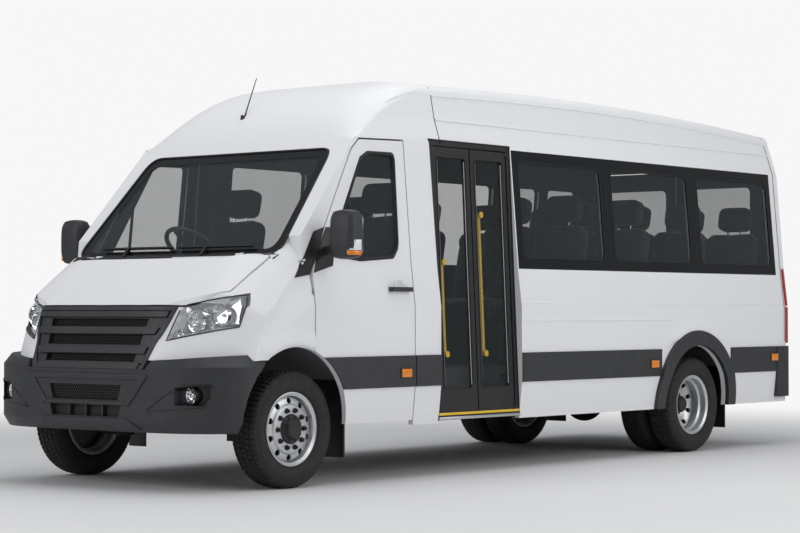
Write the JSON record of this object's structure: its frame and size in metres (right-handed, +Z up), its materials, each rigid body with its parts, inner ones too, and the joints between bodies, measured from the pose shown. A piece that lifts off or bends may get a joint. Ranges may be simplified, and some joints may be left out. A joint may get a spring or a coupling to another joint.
{
  "type": "minibus",
  "caption": "High-roof minibus with hinged cab doors, a twin-leaf entrance door, rear doors, bonnet, seats, steered front wheels and twin rear wheels.",
  "frame": {"origin": "on the ground below the middle of the vehicle's length and width", "axes": "the vehicle faces -Y, its left side with the entrance door is +X, +Z is up"},
  "size_m": [2.52, 6.475, 2.5486],
  "materials": {
    "white_paint": "gloss",
    "grey_plastic": "satin",
    "black_plastic": "satin",
    "black_glass": "gloss",
    "tinted_glass": "clear",
    "lamp_clear": "gloss",
    "lamp_red": "gloss",
    "tyre": "matte",
    "silver_rim": "satin",
    "steel": "satin",
    "floor_vinyl": "matte",
    "seat_fabric": "matte",
    "interior_plastic": "satin",
    "yellow_rail": "gloss",
    "mesh": "matte"
  },
  "bodies": {
    "body": {"wings": "white_paint", "front_lamps": "lamp_clear", "cab_frame": "white_paint", "windscreen": "tinted_glass", "side_left": "white_paint", "side_right": "white_paint", "window_bands": "black_glass", "side_glass": "tinted_glass", "roof": "white_paint", "tail_frame": "white_paint", "tail_lamps": "lamp_red", "entry_frame": "black_plastic", "front_bumper": "grey_plastic", "grille": "grey_plastic", "grille_mesh": "mesh", "side_mouldings": "grey_plastic", "tail_bumper": "grey_plastic", "chassis": "steel", "front_axle": "steel", "rear_axle": "steel", "engine": "steel", "fuel_tank": "steel", "floor": "floor_vinyl", "step": "floor_vinyl", "dashboard": "interior_plastic", "seat_cushions": "seat_fabric", "seat_backs": "seat_fabric", "seat_legs": "steel", "mudflaps": "black_plastic", "antenna": "black_plastic", "wipers": "black_plastic"},
    "bonnet": {"bonnet": "white_paint"},
    "left_knuckle": {"left_knuckle": "steel"},
    "right_knuckle": {"right_knuckle": "steel"},
    "left_front_wheel": {"left_front_tyre": "tyre", "left_front_rim": "silver_rim"},
    "right_front_wheel": {"right_front_tyre": "tyre", "right_front_rim": "silver_rim"},
    "left_rear_wheels": {"left_rear_tyres": "tyre", "left_rear_rims": "silver_rim"},
    "right_rear_wheels": {"right_rear_tyres": "tyre", "right_rear_rims": "silver_rim"},
    "steering_wheel": {"steering_wheel": "interior_plastic"},
    "left_cab_door": {"left_door": "white_paint", "left_door_glass": "tinted_glass", "left_door_trim": "black_plastic"},
    "right_cab_door": {"right_door": "white_paint", "right_door_glass": "tinted_glass", "right_door_trim": "black_plastic"},
    "front_leaf": {"front_leaf": "black_plastic", "front_leaf_glass": "tinted_glass", "front_leaf_rail": "yellow_rail"},
    "rear_leaf": {"rear_leaf": "black_plastic", "rear_leaf_glass": "tinted_glass", "rear_leaf_rail": "yellow_rail"},
    "left_tail_door": {"left_tail_door": "white_paint", "left_tail_glass": "tinted_glass"},
    "right_tail_door": {"right_tail_door": "white_paint", "right_tail_glass": "tinted_glass"}
  },
  "joints": [
    {"name": "left_steer", "type": "hinge", "parent": "body", "child": "left_knuckle", "pos_m": [0.655, -2.4625, 0.345], "axis": [0, 0, 1], "range_deg": [-35, 35]},
    {"name": "right_steer", "type": "hinge", "parent": "body", "child": "right_knuckle", "pos_m": [-0.655, -2.4625, 0.345], "axis": [0, 0, 1], "range_deg": [-35, 35]},
    {"name": "left_front_roll", "type": "hinge", "parent": "left_knuckle", "child": "left_front_wheel", "pos_m": [0.8425, -2.4625, 0.345], "axis": [1, 0, 0], "continuous": true},
    {"name": "right_front_roll", "type": "hinge", "parent": "right_knuckle", "child": "right_front_wheel", "pos_m": [-0.8425, -2.4625, 0.345], "axis": [1, 0, 0], "continuous": true},
    {"name": "left_rear_roll", "type": "hinge", "parent": "body", "child": "left_rear_wheels", "pos_m": [0.76, 1.8625, 0.345], "axis": [1, 0, 0], "continuous": true},
    {"name": "right_rear_roll", "type": "hinge", "parent": "body", "child": "right_rear_wheels", "pos_m": [-0.76, 1.8625, 0.345], "axis": [1, 0, 0], "continuous": true},
    {"name": "steering_turn", "type": "hinge", "parent": "body", "child": "steering_wheel", "pos_m": [-0.4, -1.9425, 1.43], "axis": [0, 0.6428, 0.766], "range_deg": [-525, 525]},
    {"name": "bonnet_lift", "type": "hinge", "parent": "body", "child": "bonnet", "pos_m": [0, -2.5675, 1.3655], "axis": [1, 0, 0], "range_deg": [-55, 0]},
    {"name": "left_door_swing", "type": "hinge", "parent": "body", "child": "left_cab_door", "pos_m": [1.0095, -2.3445, 1.1], "axis": [0, 0, 1], "range_deg": [-72, 0]},
    {"name": "right_door_swing", "type": "hinge", "parent": "body", "child": "right_cab_door", "pos_m": [-1.0095, -2.3445, 1.1], "axis": [0, 0, 1], "range_deg": [0, 72]},
    {"name": "front_leaf_swing", "type": "hinge", "parent": "body", "child": "front_leaf", "pos_m": [0.972, -1.1195, 0.345], "axis": [-0.0473, 0, 0.9989], "range_deg": [-90, 0]},
    {"name": "rear_leaf_swing", "type": "hinge", "parent": "body", "child": "rear_leaf", "pos_m": [0.972, -0.3455, 0.345], "axis": [-0.0473, 0, 0.9989], "range_deg": [0, 90]},
    {"name": "left_tail_swing", "type": "hinge", "parent": "body", "child": "left_tail_door", "pos_m": [0.785, 3.222, 1.4], "axis": [0, 0, 1], "range_deg": [-90, 0]},
    {"name": "right_tail_swing", "type": "hinge", "parent": "body", "child": "right_tail_door", "pos_m": [-0.785, 3.222, 1.4], "axis": [0, 0, 1], "range_deg": [0, 90]}
  ],
  "couplings": [
    {"joint": "right_steer", "follows": "left_steer", "ratio": 1},
    {"joint": "steering_turn", "follows": "left_steer", "ratio": 15},
    {"joint": "rear_leaf_swing", "follows": "front_leaf_swing", "ratio": -1}
  ]
}
